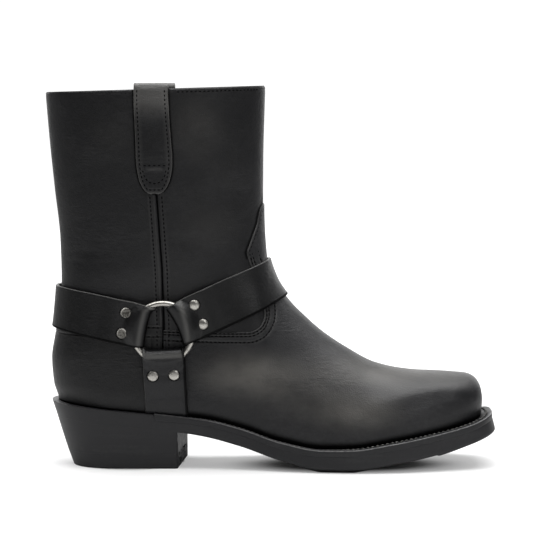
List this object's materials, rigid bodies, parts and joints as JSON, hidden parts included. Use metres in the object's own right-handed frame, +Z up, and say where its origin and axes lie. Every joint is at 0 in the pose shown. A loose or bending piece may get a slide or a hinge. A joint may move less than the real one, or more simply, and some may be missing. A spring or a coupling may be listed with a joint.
{
  "type": "harness boot",
  "caption": "Black leather square-toe ankle harness boot for the right foot, with ring-and-strap harness, pull tabs, welted sole and stacked slanted heel.",
  "frame": {"origin": "middle of the boot's box, at floor level", "axes": "+X from heel to toe, +Z up from the floor, +Y to the medial side; the lateral side faces -Y"},
  "size_m": [0.3146, 0.1064, 0.2678],
  "materials": {
    "upper_leather": "satin",
    "strap_leather": "satin",
    "sole_rubber": "matte",
    "insole_board": "matte",
    "nickel": "satin"
  },
  "bodies": {
    "root": {"upper": "upper_leather", "vamp": "upper_leather", "counter": "upper_leather", "seam_lateral": "upper_leather", "seam_medial": "upper_leather", "tab_lateral": "upper_leather", "tab_medial": "upper_leather", "strap_front": "strap_leather", "strap_back": "strap_leather", "strap_under_lateral": "strap_leather", "strap_under_medial": "strap_leather", "ring_lateral": "nickel", "ring_medial": "nickel", "rivet_front_lateral_1": "nickel", "rivet_front_lateral_2": "nickel", "rivet_front_medial_1": "nickel", "rivet_front_medial_2": "nickel", "rivet_back_lateral_1": "nickel", "rivet_back_lateral_2": "nickel", "rivet_back_medial_1": "nickel", "rivet_back_medial_2": "nickel", "rivet_under_lateral_1": "nickel", "rivet_under_lateral_2": "nickel", "rivet_under_medial_1": "nickel", "rivet_under_medial_2": "nickel", "outsole": "sole_rubber", "welt": "sole_rubber", "heel_block": "sole_rubber", "heel_lift": "sole_rubber", "insole": "insole_board"}
  },
  "joints": []
}
